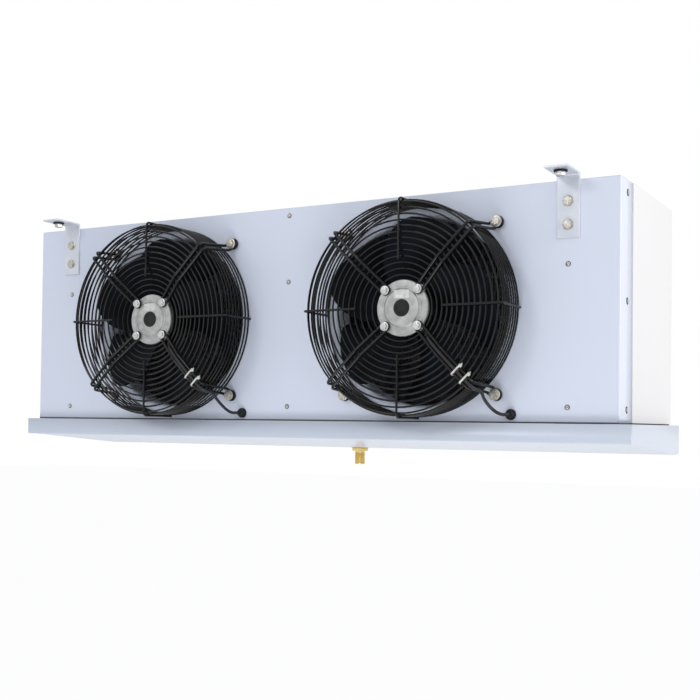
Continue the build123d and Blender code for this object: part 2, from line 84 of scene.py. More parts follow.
camera = bpy.data.objects.new("camera", bpy.data.cameras.new("camera"))
aimed(camera, right, up, -ahead, camera_place)
camera.data.sensor_width = 36.0
camera.data.lens = 57.0
camera.data.shift_y = 0.0714
camera.data.clip_start, camera.data.clip_end = 0.05, 60.0
bpy.context.scene.camera = camera
print("camera looks along", np.round(ahead, 3))

# %% [markdown]
# ## Light, floor and background
# A cold-room unit is white, so the light decides most of how its faces part from each other.
# One large lamp on the right makes the end faces bright, and a cooler, weaker sky fills the front; the
# front panel's and the tray's paints add painted shade, being darker, bluer copies of the covers' white.
# The sky and the floor look plain white to the camera and to reflections, but light the cooler gently.

# %% White background
scene.view_settings.view_transform = "Standard"


def white_to_eyes(tree, shader, share, output):
    """Mix a shader with white light by a share, only for camera, glossy and transmission rays."""
    path = tree.nodes.new("ShaderNodeLightPath")
    part = path.outputs["Is Camera Ray"]
    for operation, other in (("ADD", path.outputs["Is Glossy Ray"]),
                             ("ADD", path.outputs["Is Transmission Ray"]), ("MULTIPLY", share)):
        step = tree.nodes.new("ShaderNodeMath")
        step.operation, step.use_clamp = operation, True
        tree.links.new(part, step.inputs[0])
        if operation == "ADD":
            tree.links.new(other, step.inputs[1])
        else:
            step.inputs[1].default_value = other
        part = step.outputs[0]
    mix = tree.nodes.new("ShaderNodeMixShader")
    tree.links.new(part, mix.inputs["Fac"])
    tree.links.new(shader.outputs[0], mix.inputs[1])
    in_world = output.bl_idname == "ShaderNodeOutputWorld"
    white = tree.nodes.new("ShaderNodeBackground" if in_world else "ShaderNodeEmission")
    white.inputs["Color"].default_value = (1.0, 1.0, 1.0, 1.0)
    white.inputs["Strength"].default_value = 1.0
    tree.links.new(white.outputs[0], mix.inputs[2])
    tree.links.new(mix.outputs[0], output.inputs["Surface"])


world = bpy.data.worlds.new("studio")
world.use_nodes = True
scene.world = world
sky = world.node_tree.nodes["Background"]
sky.inputs["Color"].default_value = (0.91, 0.95, 1.0, 1.0)
sky.inputs["Strength"].default_value = 0.675
white_to_eyes(world.node_tree, sky, 1.0, world.node_tree.nodes["World Output"])
print("sky strength", round(sky.inputs["Strength"].default_value, 3))

# %% Lamps


def lamp(name, place, target, width, watts, colour):
    """Square area lamp at a place, turned so that its light falls on a target."""
    data = bpy.data.lights.new(name, "AREA")
    data.size = width
    data.energy = watts
    data.color = colour
    back = np.array(place, float) - np.array(target, float)
    back /= np.linalg.norm(back)
    side = np.cross((0.0, 0.0, 1.0), back)
    side /= np.linalg.norm(side)
    aimed(bpy.data.objects.new(name, data), side, np.cross(back, side), back, place)


middle = (0.0, 0.0, -0.3)
lamp("key", (6.0, -0.55, 1.2), middle, 1.5, 146.0, (1.0, 0.965, 0.93))
lamp("front_fill", (-1.6, -5.5, 2.2), middle, 1.2, 38.0, (0.93, 0.96, 1.0))
lamp("low_fill", (0.6, -1.3, -2.05), middle, 0.9, 16.0, (0.98, 0.99, 1.0))

# %% [markdown]
# ## Finishes as small node recipes
# Real paint and metal are never one flat colour. Each recipe here has the same three parts:
# a slow colour change over centimetres, a roughness that wanders, and a bump at the finish's own grain.
# They read Object coordinates in metres, so a scale of 400 gives grains of about 2.5 mm.

# %% Recipe and patterns


def recipe(name, roughness, metallic=0.0, **sockets):
    """Material with a Principled shader whose constants are set on its own sockets."""
    material = bpy.data.materials.new(name)
    material.use_nodes = True
    shader = material.node_tree.nodes["Principled BSDF"]
    shader.inputs["Roughness"].default_value = roughness
    shader.inputs["Metallic"].default_value = metallic
    for socket, value in sockets.items():
        shader.inputs[socket.replace("_", " ")].default_value = value
    return material


def grain(material, scale, detail=3.0, stretch=(1.0, 1.0, 1.0)):
    """Noise on Object coordinates; returns its output from 0 to 1."""
    tree = material.node_tree
    place = tree.nodes.new("ShaderNodeTexCoord")
    turn = tree.nodes.new("ShaderNodeMapping")
    turn.inputs["Scale"].default_value = stretch
    noise = tree.nodes.new("ShaderNodeTexNoise")
    noise.inputs["Scale"].default_value = scale
    noise.inputs["Detail"].default_value = detail
    tree.links.new(place.outputs["Object"], turn.inputs["Vector"])
    tree.links.new(turn.outputs["Vector"], noise.inputs["Vector"])
    return noise.outputs["Fac"]


def cells(material, scale):
    """Voronoi cells on Object coordinates, for zinc crystals."""
    tree = material.node_tree
    place = tree.nodes.new("ShaderNodeTexCoord")
    pattern = tree.nodes.new("ShaderNodeTexVoronoi")
    pattern.inputs["Scale"].default_value = scale
    tree.links.new(place.outputs["Object"], pattern.inputs["Vector"])
    return pattern.outputs["Color"]


print("patterns: grain, cells")

# %% Colour, wear and relief


def between(material, source, colours, low=0.3, high=0.7):
    """Colour ramp from one colour to another over the middle of a pattern, into the base colour."""
    tree = material.node_tree
    ramp = tree.nodes.new("ShaderNodeValToRGB")
    for stop, position, colour in zip(ramp.color_ramp.elements, (low, high), colours):
        stop.position, stop.color = position, (*colour, 1.0)
    tree.links.new(source, ramp.inputs["Fac"])
    tree.links.new(ramp.outputs["Color"], tree.nodes["Principled BSDF"].inputs["Base Color"])


def wander(material, source, low, high):
    """Roughness that follows a pattern between two values."""
    tree = material.node_tree
    span = tree.nodes.new("ShaderNodeMapRange")
    span.inputs["To Min"].default_value = low
    span.inputs["To Max"].default_value = high
    tree.links.new(source, span.inputs["Value"])
    tree.links.new(span.outputs["Result"], tree.nodes["Principled BSDF"].inputs["Roughness"])


def relief(material, source, depth, strength=0.4):
    """Bump whose height is a pattern times a depth in metres."""
    tree = material.node_tree
    bump = tree.nodes.new("ShaderNodeBump")
    bump.inputs["Strength"].default_value = strength
    bump.inputs["Distance"].default_value = depth
    tree.links.new(source, bump.inputs["Height"])
    tree.links.new(bump.outputs["Normal"], tree.nodes["Principled BSDF"].inputs["Normal"])


def finish(name, roughness, tint, worn, bump, metallic=0.0, detail=(3.0, 3.0, 3.0),
           stretch=(1.0, 1.0, 1.0), **sockets):
    """Recipe with all three parts, each over a grain of its own.

    tint is (grain scale, two colours), worn (grain scale, lowest and highest roughness), bump (grain scale,
    depth, strength). detail holds the three grains' detail, and stretch is for the worn one."""
    material = recipe(name, roughness, metallic, **sockets)
    between(material, grain(material, tint[0], detail[0]), tint[1:])
    wander(material, grain(material, worn[0], detail[1], stretch), *worn[1:])
    relief(material, grain(material, bump[0], detail[2]), *bump[1:])
    return material


print("a finish takes a tint, its wear and a bump")

# %% Painted sheet, with painted shade on the front panel and the tray
grained = {"bump": (420.0, 0.0002, 0.18), "detail": (3.0, 3.0, 2.0)}
thin_coat = {"Coat_Weight": 0.12, "Coat_Roughness": 0.18}
thick_coat = {"Coat_Weight": 0.2, "Coat_Roughness": 0.15}
# The front panel's paint is a darker, bluer copy of the covers' white: painted shade on the front.
panel_paint = finish("panel_paint", 0.36, (1.6, (0.700, 0.740, 0.860), (0.730, 0.770, 0.885)),
                     (9.0, 0.32, 0.42), **grained, **thin_coat)
cover_paint = finish("cover_paint", 0.36, (1.9, (0.765, 0.760, 0.765), (0.800, 0.795, 0.800)),
                     (8.0, 0.32, 0.42), **grained, **thin_coat)
# The tray's paint is a darker, bluer copy of the white: painted shade on its front lip.
tray_paint = finish("tray_paint", 0.32, (1.7, (0.585, 0.635, 0.735), (0.630, 0.675, 0.765)),
                    (7.0, 0.28, 0.40), **grained, **thick_coat)
print("paints", panel_paint.name, cover_paint.name, tray_paint.name)

# %% [markdown]
# ## Bare metals
# Galvanised sheet shows zinc crystals a centimetre across, which Voronoi cells imitate.
# Brass and copper get a slow stain instead, and screws a fine grain, because they are turned and plated.

# %% Bare metal finishes
galvanised = recipe("galvanised", 0.42, 0.75)
crystals = cells(galvanised, 95.0)
between(galvanised, crystals, ((0.46, 0.48, 0.50), (0.66, 0.68, 0.70)), 0.2, 0.8)
wander(galvanised, crystals, 0.34, 0.55)
relief(galvanised, grain(galvanised, 260.0), 0.0003, 0.15)
hanger_zinc = finish("hanger_zinc", 0.34, (30.0, (0.62, 0.65, 0.72), (0.72, 0.745, 0.80)),
                     (55.0, 0.28, 0.46), (320.0, 0.0002, 0.2), 0.35, (3.0, 4.0, 3.0), (1.0, 1.0, 0.2))
screw_zinc = finish("screw_zinc", 0.34, (120.0, (0.36, 0.34, 0.30), (0.60, 0.58, 0.53)),
                    (240.0, 0.24, 0.42), (900.0, 0.0001, 0.25), 0.80)
bright_zinc = finish("bright_zinc", 0.30, (110.0, (0.46, 0.46, 0.45), (0.64, 0.64, 0.63)),
                     (230.0, 0.24, 0.40), (900.0, 0.0001, 0.25), 0.85)
copper = finish("copper", 0.34, (26.0, (0.44, 0.20, 0.11), (0.76, 0.40, 0.26)),
                (60.0, 0.24, 0.46), (500.0, 0.0001, 0.2), 1.0, (5.0, 3.0, 3.0))
brass = finish("brass", 0.28, (45.0, (0.70, 0.52, 0.19), (0.88, 0.71, 0.34)),
               (90.0, 0.22, 0.40), (700.0, 0.0001, 0.2), 0.85, (4.0, 3.0, 3.0))
fin_metal = finish("fin_metal", 0.50, (14.0, (0.34, 0.35, 0.36), (0.50, 0.51, 0.52)),
                   (30.0, 0.44, 0.60), (600.0, 0.0001, 0.2), 0.70)
diecast = finish("diecast", 0.40, (70.0, (0.33, 0.33, 0.325), (0.50, 0.50, 0.49)),
                 (160.0, 0.34, 0.52), (1100.0, 0.0002, 0.35), 0.55, (4.0, 3.0, 3.0))
print("materials so far", len(bpy.data.materials))

# %% [markdown]
# ## Black coatings, rubber and plastics
# The guard is dipped in black coating that pools into a gloss, the blades are satin black with a blue cast,
# made darker still as painted shade of the fan's hollow, and the rubber and cable are duller. A black
# finish is drawn by its highlights, so roughness matters most.

# %% Black and plastic finishes
guard_wire = finish("guard_wire", 0.12, (60.0, (0.0015, 0.0015, 0.0018), (0.004, 0.004, 0.0045)),
                    (130.0, 0.08, 0.18), (380.0, 0.0002, 0.2), Specular_IOR_Level=0.30)
# The blades' colour is their black darkened further: painted shade inside the guard.
blade_black = finish("blade_black", 0.38, (11.0, (0.0025, 0.0033, 0.0045), (0.009, 0.012, 0.017)),
                     (24.0, 0.34, 0.52), (520.0, 0.0002, 0.25), detail=(4.0, 3.0, 3.0),
                     Specular_IOR_Level=0.05)
rotor_black = finish("rotor_black", 0.50, (40.0, (0.004, 0.004, 0.0045), (0.010, 0.010, 0.011)),
                     (80.0, 0.42, 0.60), (900.0, 0.0002, 0.3), Specular_IOR_Level=0.06)
rubber = finish("rubber", 0.62, (90.0, (0.009, 0.009, 0.009), (0.022, 0.021, 0.020)),
                (180.0, 0.54, 0.72), (800.0, 0.0002, 0.4), Specular_IOR_Level=0.25)
# The dark strip in the panel's joint with the tray takes this brownish grey: painted shadow.
trim_grey = finish("trim_grey", 0.60, (80.0, (0.085, 0.075, 0.075), (0.120, 0.108, 0.106)),
                   (160.0, 0.52, 0.70), (800.0, 0.0002, 0.3), Specular_IOR_Level=0.25)
sheath = finish("sheath", 0.40, (70.0, (0.010, 0.010, 0.011), (0.022, 0.022, 0.024)),
                (150.0, 0.38, 0.56), (700.0, 0.0001, 0.3), Specular_IOR_Level=0.35)
nylon = finish("nylon", 0.38, (120.0, (0.60, 0.59, 0.55), (0.72, 0.71, 0.67)),
               (260.0, 0.32, 0.46), (900.0, 0.0001, 0.2), Subsurface_Weight=0.15, Subsurface_Scale=0.002)
box_plastic = finish("box_plastic", 0.48, (16.0, (0.36, 0.37, 0.38), (0.42, 0.43, 0.44)),
                     (50.0, 0.42, 0.56), (1400.0, 0.0001, 0.4))
print("materials", len(bpy.data.materials))

# %% [markdown]
# ## Arrays into meshes
# Every new piece is a grid of points, so one function turns a grid into quads and one makes it a mesh.
# Doubles are merged before the normals are worked out, because a pole or a seam repeats its points.

# %% Grids of points


def full_turn(steps):
    """Angles in equal steps round a circle, without the last one, which would repeat the first."""
    return np.linspace(0, 2 * np.pi, steps, endpoint=False)


def polar(radius, angle, height):
    """Points (radius cos(angle), radius sin(angle), height) of whole grids at once."""
    return np.stack(np.broadcast_arrays(radius * np.cos(angle), radius * np.sin(angle), height), -1)


def skin(points, wrap_u=False, wrap_v=False):
    """Quads between neighbours of a grid of points, closed along u or v where asked."""
    rows, columns = points.shape[:2]
    index = np.arange(rows * columns).reshape(rows, columns)
    if wrap_u:
        index = np.vstack([index, index[:1]])
    if wrap_v:
        index = np.hstack([index, index[:, :1]])
    quads = np.stack([index[:-1, :-1], index[1:, :-1], index[1:, 1:], index[:-1, 1:]], -1)
    return points.reshape(-1, 3), quads.reshape(-1, 4).tolist()


def joined(parts):
    """Several (points, faces) pairs as one: each part's face numbers move past the points before it."""
    starts = np.cumsum([0] + [len(points) for points, _ in parts])
    faces = [[corner + start for corner in face]
             for (_, part), start in zip(parts, starts.tolist()) for face in part]
    return np.vstack([points for points, _ in parts]), faces


print("quarters of a turn", np.round(full_turn(4), 3))

# %% Array to piece


def put(name, shape, material, slot, body="casing", stands_for=(), thickness=0.0, facing=None, crease=35.0):
    """Piece from arrays: doubles merged, faces outwards, an optional wall, then it rides on its body.

    facing is the side that an open sheet shows: its faces are flipped if they point the other way."""
    points, faces = shape
    mesh = bpy.data.meshes.new(name)
    mesh.from_pydata(np.asarray(points, float).tolist(), [], faces)
    work = bmesh.new()
    work.from_mesh(mesh)
    bmesh.ops.remove_doubles(work, verts=work.verts, dist=0.00001)
    bmesh.ops.recalc_face_normals(work, faces=work.faces)
    if facing is None:
        inside_out = work.calc_volume(signed=True) < 0
    else:
        inside_out = sum(face.calc_area() * face.normal.dot(facing) for face in work.faces) < 0
    if inside_out:
        bmesh.ops.reverse_faces(work, faces=work.faces)
    work.to_mesh(mesh)
    work.free()
    mesh.materials.append(material)
    mesh.polygons.foreach_set("use_smooth", np.ones(len(mesh.polygons), bool))
    mesh.set_sharp_from_angle(angle=np.radians(crease))
    piece = bpy.data.objects.new(name, mesh)
    scene.collection.objects.link(piece)
    if thickness:
        wall = piece.modifiers.new("wall", "SOLIDIFY")
        wall.thickness = thickness
        wall.offset = -1.0
        wall.use_even_offset = True
    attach(piece, body)
    if stands_for:
        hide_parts(*stands_for)
    print(name, len(mesh.vertices), "points")
    return piece


# %% [markdown]
# ## Bent paths, round wire and turned profiles
# Nearly everything on the cooler is a line with a thickness: bent sheet, bent wire or a turned profile.
# A bend is a circular arc of a true radius, so a few helpers shape sheet, wire, bolts, caps and seals.

# %% Paths and wires


def rounded(corners, bends, steps=8):
    """Path through corners with an arc of its own radius in each, a slerp between the arc's two ends."""
    corners = np.asarray(corners, float)
    leave = np.diff(corners, axis=0)
    leave /= np.linalg.norm(leave, axis=1, keepdims=True)
    before, after = leave[:-1], leave[1:]
    turn = np.arccos(np.clip((before * after).sum(1), -1, 1))[:, None]
    bends = np.broadcast_to(np.asarray(bends, float), (len(turn),))[:, None]
    setback = bends * np.tan(turn / 2)
    inward = after - before
    inward /= np.linalg.norm(inward, axis=1, keepdims=True)
    centre = corners[1:-1] + inward * bends / np.cos(turn / 2)
    first = corners[1:-1] - before * setback - centre
    last = corners[1:-1] + after * setback - centre
    share = np.linspace(0, 1, steps)[None, :, None]
    turn = turn[:, None]
    arcs = centre[:, None] + (np.sin((1 - share) * turn) * first[:, None]
                              + np.sin(share * turn) * last[:, None]) / np.sin(turn)
    return np.vstack([corners[:1], arcs.reshape(-1, corners.shape[1]), corners[-1:]])


def wire(path, radius, sides=10, closed=False, across=(0.36, 0.48, 0.80)):
    """Round wire: at each path point a circle square to the path, its first axis being across x tangent."""
    path = np.asarray(path, float)
    tangent = np.roll(path, -1, 0) - np.roll(path, 1, 0) if closed else np.gradient(path, axis=0)
    tangent /= np.linalg.norm(tangent, axis=1, keepdims=True)
    side = np.cross(across, tangent)
    side /= np.linalg.norm(side, axis=1, keepdims=True)
    lift = np.cross(tangent, side)
    angle = full_turn(sides)[None, :, None]
    circle = np.cos(angle) * side[:, None] + np.sin(angle) * lift[:, None]
    points, quads = skin(path[:, None] + radius * circle, closed, True)
    if not closed:
        last = len(points) - sides
        quads = quads + [list(range(sides)), list(range(last, last + sides))]
    return points, quads


print("a bend of 3 mm takes", len(rounded([(0, 0), (1, 0), (1, 1)], [0.003])) - 2, "points")

# %% Lathe and prism


def turned(profile, sides=48, outline=None):
    """Lathe: (radius, height) pairs carried round the height axis; outline scales the radius by angle."""
    profile = np.asarray(profile, float)
    angle = full_turn(sides)
    spread = profile[:, :1] * (np.ones(sides) if outline is None else outline(angle))
    return skin(polar(spread, angle, profile[:, 1:]), False, True)


def edge_arc(radius, height, bend, upward=True, steps=6):
    """(radius, height) pairs of a quarter-round edge between a side wall and a flat face."""
    angle = np.linspace(0, np.pi / 2, steps)
    sign = 1.0 if upward else -1.0
    return np.column_stack([radius - bend + bend * np.cos(angle),
                            height - sign * (bend - bend * np.sin(angle))])


def rectangle(a, b):
    """Corners of the rectangle that spans a = (low, high) and b = (low, high)."""
    return np.array([(a[0], b[0]), (a[1], b[0]), (a[1], b[1]), (a[0], b[1])])


def prism(outline, start, end, axes):
    """Closed outline of (a, b) pairs carried along an axis; axes says where a, b and the run lie."""
    outline = np.asarray(outline, float)
    count = len(outline)
    points = np.zeros((2, count, 3))
    points[:, :, axes[0]] = outline[:, 0]
    points[:, :, axes[1]] = outline[:, 1]
    points[:, :, axes[2]] = np.array([start, end])[:, None]
    points, quads = skin(points, False, True)
    return points, quads + [list(range(count)), list(range(count, 2 * count))]


print("a prism of four sides has", len(prism(rectangle((0, 1), (0, 1)), 0, 1, (0, 1, 2))[1]), "faces")

# %% Bent sheet and directions


def sheet_section(corners, bends, thickness):
    """Closed section of a bent sheet: its rounded outer line, and that line moved by the thickness."""
    outer = rounded(corners, bends)
    tangent = np.gradient(outer, axis=0)
    tangent /= np.linalg.norm(tangent, axis=1, keepdims=True)
    inner = outer + thickness * np.column_stack([-tangent[:, 1], tangent[:, 0]])
    return np.vstack([outer, inner[::-1]])


AS_DRAWN = ((1, 0, 0), (0, 1, 0), (0, 0, 1))
OUT_OF_PANEL = ((1, 0, 0), (0, 0, 1), (0, -1, 0))
DOWNWARDS = ((1, 0, 0), (0, -1, 0), (0, 0, -1))


def moved(shape, origin, axes=AS_DRAWN):
    """The same shape with its x, y and z laid along three directions from an origin."""
    points, faces = shape
    return np.asarray(points) @ np.array(axes, float) + np.asarray(origin, float), faces


print("turned downwards, z runs along", DOWNWARDS[2])

# %% [markdown]
# ## Places read from the frame
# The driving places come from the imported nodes: the panel's face, the fans' axes and the guard's reach.
# Distances in a fan's own frame are x to the right, y up and a height out of the panel.

# %% Places
panel_low, panel_high = np.array(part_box("front_panel"))
cover_low, cover_high = np.array(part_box("end_cover_right"))
half_length, seam_y, panel_top = panel_high
front_y, panel_bottom = panel_low[1:]
cover_x, rear_y = cover_high[:2]
sheet = 0.0015
fan_centres = {joint["child"].replace("fan_", ""): np.array(joint["pos_m"]) for joint in frame["joints"]}
guard_top = front_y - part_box("guard_arms_right")[0][1]
nozzle_radius, nozzle_depth = 0.203, 0.050
wire_arm, wire_ring, wire_stay = 0.0033, 0.0020, 0.0026
motor_bolts, arm_slope, arm_kink, arm_corner, foot_radius = 0.054, 0.060, 0.132, 0.230, 0.255
guard_radius = 0.2305
motor_seat = 0.084
face_level = guard_top - wire_arm
motor_level = motor_seat + wire_arm
foot_level = 0.007 + wire_arm
diagonal = np.radians([45.0, 135.0, 225.0, 315.0])
print("fans at", {k: list(np.round(v, 4)) for k, v in fan_centres.items()}, "guard", round(guard_top, 4))


def at_fan(shape, fan):
    """Shape in a fan's own frame put in the cooler's frame."""
    return moved(shape, (fan_centres[fan][0], front_y, fan_centres[fan][2]), OUT_OF_PANEL)


def spun(shape, *spins):
    """Copies of a shape in a fan's own frame, each turned about the fan's axis."""
    turns = [((np.cos(a), np.sin(a), 0), (-np.sin(a), np.cos(a), 0), (0, 0, 1)) for a in spins]
    return joined([moved(shape, (0, 0, 0), axes) for axes in turns])


def put_at(fan, name, shape, material, slot, stands_for=None, turns=False, **more):
    """A shape put at one fan: on the fan's own body if it turns with it, or else on the casing."""
    put(f"{name}_{fan}", at_fan(shape, fan), material, slot, f"fan_{fan}" if turns else "casing",
        (f"{stands_for}_{fan}",) if stands_for else (), **more)


# %% [markdown]
# ## The front panel
# The real panel is one pressed sheet: two openings with a drawn collar, and sides folded back.
# Cutting holes from a box leaves hard facets. Here each half is a polar grid from the opening's circle to
# the rectangle's edge, so the collar's bell mouth carries on from the same points and shades smoothly.

# %% Sheet with a round hole


def plate_with_hole(centre, radius, low, high, steps, shares):
    """Flat sheet between a circle and a rectangle: point = centre + direction * lerp(circle, edge, share).

    Returns rows of (a, b) pairs, from the circle outwards, and the directions' cosines and sines."""
    low, high = np.array(low) - centre, np.array(high) - centre
    corners = np.arctan2([low[1], low[1], high[1], high[1]], [low[0], high[0], low[0], high[0]])
    evenly = np.linspace(-np.pi, np.pi, steps, endpoint=False)
    angle = np.unique(np.round(np.concatenate([evenly, corners]), 6))
    c, s = np.cos(angle), np.sin(angle)
    reach = np.minimum(np.where(c > 0, high[0], -low[0]) / np.maximum(np.abs(c), 1e-9),
                       np.where(s > 0, high[1], -low[1]) / np.maximum(np.abs(s), 1e-9))
    spread = radius + (reach - radius) * np.array(shares)[:, None]
    return np.stack([centre[0] + spread * c, centre[1] + spread * s], -1), c, s


def levels_on_edge(plate, axis, value):
    """Sorted places along one straight edge of a plate, where its outer row meets a or b = value."""
    edge = plate[-1][np.abs(plate[-1][:, axis] - value) < 1e-5]
    return np.unique(np.round(edge[:, 1 - axis], 7))


print("a plate's grid", plate_with_hole((0, 0), 0.1, (-1, -1), (1, 1), 8, (0, 1))[0].shape)

# %% Front panel
bend, mouth = 0.003, 0.009
shares = (0.0, 0.12, 0.3, 0.5, 0.72, 0.9, 0.985, 1.0)
flat_edge = half_length - bend
turn = np.linspace(0, np.pi / 2, 7)
ring_radius = np.concatenate([nozzle_radius + mouth * (1 - np.sin(turn)), [nozzle_radius] * 2])[:, None]
ring_depth = np.concatenate([mouth * (1 - np.cos(turn)), [nozzle_depth * 0.6, nozzle_depth]])[:, None]
fold_x = np.concatenate([flat_edge + bend * np.sin(turn), [half_length] * 3])
fold_y = np.concatenate([front_y + bend * (1 - np.cos(turn)),
                         [front_y + bend + 0.001, front_y + 0.040, seam_y]])
panel_parts = []
for side, name in ((-1, "left"), (1, "right")):
    centre = fan_centres[name][[0, 2]]
    low = (min(0.0, side * flat_edge), panel_bottom)
    high = (max(0.0, side * flat_edge), panel_top)
    plate, c, s = plate_with_hole(centre, nozzle_radius + mouth, low, high, 144, shares)
    flat = np.stack([plate[..., 0], np.full(plate.shape[:2], front_y), plate[..., 1]], -1)
    collar = np.stack([centre[0] + ring_radius * c, front_y + ring_depth + 0 * c,
                       centre[1] + ring_radius * s], -1)
    levels = levels_on_edge(plate, 0, side * flat_edge)[:, None]
    returned = np.stack(np.broadcast_arrays(side * fold_x, fold_y, levels), -1)
    panel_parts += [skin(flat, False, True), skin(collar, False, True), skin(returned)]
put("panel", joined(panel_parts), panel_paint, "panel_paint", stands_for=("front_panel",),
    thickness=sheet, facing=(0, -1, 0), crease=50.0)

# %% [markdown]
# ## The panel's lower edge
# A narrow lip stiffens the panel below the openings. A thin dark strip fills the gap between the panel and
# the tray
# and under the covers: painted shadow, a dark line all along the joint where the shade falls.

# %% Lip, and the dark strip of painted shadow in the joint
lip_half_length, lip_start, lip_end = 0.640, front_y + 0.0015, front_y + 0.018
lip = rectangle((lip_start, lip_end), (panel_bottom, panel_bottom + sheet))
put("panel_lip", prism(lip, -lip_half_length, lip_half_length, (1, 2, 0)), panel_paint, "panel_paint",
    crease=30.0)
# A dark strip fills the gap under the panel's edge and under the covers: painted shadow of the joint.
strip_levels = (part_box("drip_tray")[1][2] + 0.0002, panel_bottom)
strip_end, strip_back = half_length - 0.001, front_y + 0.0045
shadow_strips = [prism(rectangle((front_y + 0.0003, strip_back), strip_levels), -strip_end, strip_end, (1, 2, 0))]
side_shadow_strip = rectangle((half_length - 0.0042, half_length - 0.0008), strip_levels)
shadow_strips += [prism(side_shadow_strip * [side, 1], strip_back, rear_y - 0.002, (0, 2, 1)) for side in (-1, 1)]
put("edge_trim", joined(shadow_strips), trim_grey, "rubber", crease=30.0)

# %% [markdown]
# ## End covers and screws
# A cover is one sheet folded three times. Its section, with a small outer radius in each fold, is carried
# upwards. The radius is what catches a thin line of light along a folded edge.

# %% End covers
front_flange, rear_flange_x, seam_gap = 0.06, 0.7005, 0.0005
for side, name in ((-1, "left"), (1, "right")):
    corners = [(half_length - sheet, seam_y - front_flange), (half_length - sheet, seam_y + seam_gap),
               (cover_x, seam_y + seam_gap), (cover_x, rear_y), (rear_flange_x, rear_y)]
    section = sheet_section(corners, [0.0012, 0.0012, 0.003], sheet) * [side, 1]
    put(f"cover_{name}", prism(section, cover_low[2], cover_high[2], (0, 1, 2)), cover_paint, "panel_paint",
        stands_for=(f"end_cover_{name}",), crease=30.0)

# %% [markdown]
# ## Screws
# Pan-head screws hold the panel and the covers, each on a dark sealing washer; on the panel the washer's
# dark ring also paints the shadow groove round each head. A head is a lathe surface with a cross pressed
# into it where the angle lies near a quarter turn.

# %% Screw head and seal


def cross_head(radius, height, sides=24):
    """Pan head: height falls with the square of the radius; a shallow cross is pressed in its middle."""
    share = np.linspace(0, 1, 12)[:, None]
    angle = full_turn(sides)
    arms = (np.abs(np.sin(2 * angle)) < 0.45) | (share < 0.01)
    dip = 0.35 * height * arms * np.clip(1.6 - 3.2 * share, 0, 1)
    top = polar(radius * share, angle, height * (0.45 + 0.55 * (1 - share ** 2)) - dip)
    skirt = polar(radius, angle, 0.0)[None]
    return skin(np.concatenate([top, skirt, 0 * skirt]), False, True)


def seal(radius):
    """Flat sealing washer with a chamfered rim, closed over its hole, which the screw fills."""
    rim = [(radius, 0.0), (radius, 0.0005), (radius - 0.0006, 0.0009)]
    return turned([(0.0, 0.0), *rim, (0.0, 0.0009)], 32)


print("a screw head has", len(cross_head(0.0042, 0.0026)[0]), "points")

# %% Screws in the panel and the covers
column_x, middle_level, low_level, proud = 0.668, -0.184, -0.474, 0.0004
panel_spots = ((-column_x, middle_level), (-column_x, low_level), (0.0, -0.032), (0.0, -0.186),
               (0.0, low_level), (column_x, middle_level), (column_x, low_level))
heads = [moved(cross_head(0.0042, 0.0026), (x, front_y - proud, z), OUT_OF_PANEL) for x, z in panel_spots]
put("panel_screw_heads", joined(heads), screw_zinc, "screw_zinc")
# The panel's dark washers are partly seals and partly painted shade: the shadow in the groove round each
# head.
seals = [moved(seal(0.0054), (x, front_y, z), OUT_OF_PANEL) for x, z in panel_spots]
put("panel_screw_seals", joined(seals), rubber, "rubber")

side_radius, side_setback = 0.0050, 0.048
screw_low, screw_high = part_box("cover_screws")
side_levels = (screw_low[2] + side_radius, (screw_low[2] + screw_high[2]) / 2, screw_high[2] - side_radius)
side_spots = [((side * half_length, front_y + side_setback, z), ((0, side, 0), (0, 0, 1), (side, 0, 0)))
              for side in (-1, 1) for z in side_levels]
heads = [moved(cross_head(side_radius, 0.0028), *spot) for spot in side_spots]
put("side_screw_heads", joined(heads), screw_zinc, "screw_zinc", stands_for=("cover_screws",))
seals = [moved(seal(0.0072), *spot) for spot in side_spots]
put("side_screw_seals", joined(seals), rubber, "rubber")

# %% [markdown]
# ## The drip tray
# The tray is a shallow folded box whose floor falls to a gutter at the rear. Its skin is seven flat faces.
# A Bevel modifier rounds every fold and corner at once, and Solidify gives the sheet its thickness inwards.

# %% Drip tray
front_wall, front_hem, gutter_width = 0.040, 0.022, 0.062
tray_low, tray_high = np.array(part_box("drip_tray"))
hem_level, gutter_level = tray_high[2] - front_wall, tray_low[2]
tray_line = np.array([(tray_low[1], tray_high[2]), (tray_low[1], hem_level),
                      (tray_low[1] + front_hem, hem_level), (tray_high[1] - gutter_width, gutter_level),
                      (tray_high[1], gutter_level), tray_high[1:]])
tray_points = np.zeros((2, 6, 3))
tray_points[:, :, 0] = np.array([tray_low[0], tray_high[0]])[:, None]
tray_points[:, :, 1:] = tray_line
tray_skin, tray_faces = skin(tray_points)
tray_faces += [list(range(6)), list(range(6, 12))]
tray = put("tray", (tray_skin, tray_faces), tray_paint, "tray_paint", stands_for=("drip_tray",),
           facing=(0, 0, -1), crease=30.0)
fold = tray.modifiers.new("fold", "BEVEL")
fold.width, fold.segments, fold.limit_method, fold.angle_limit = 0.0028, 3, "ANGLE", np.radians(3.0)
fold.harden_normals = True
wall = tray.modifiers.new("wall", "SOLIDIFY")
wall.thickness, wall.offset = sheet, -1.0

# %% [markdown]
# ## Guard rings
# The guard is welded from round wire: rings that follow a cone near the motor, a flat face and an upright
# wall. A ring is a circle at one radius and height, so a list of radii and heights makes the basket.

# %% Guard rings


def arm_height(radius):
    """Arm's centre line: flat on the motor, a straight slope up to the kink, then flat again."""
    share = np.clip((radius - arm_slope) / (arm_kink - arm_slope), 0, 1)
    return motor_level + share * (face_level - motor_level)


def ring(radius, height, thick, sides=8, steps=88):
    """Torus: a circle of wire at a radius and a height above the panel."""
    return wire(polar(radius, full_turn(steps), height), thick, sides, True, (0, 0, 1))


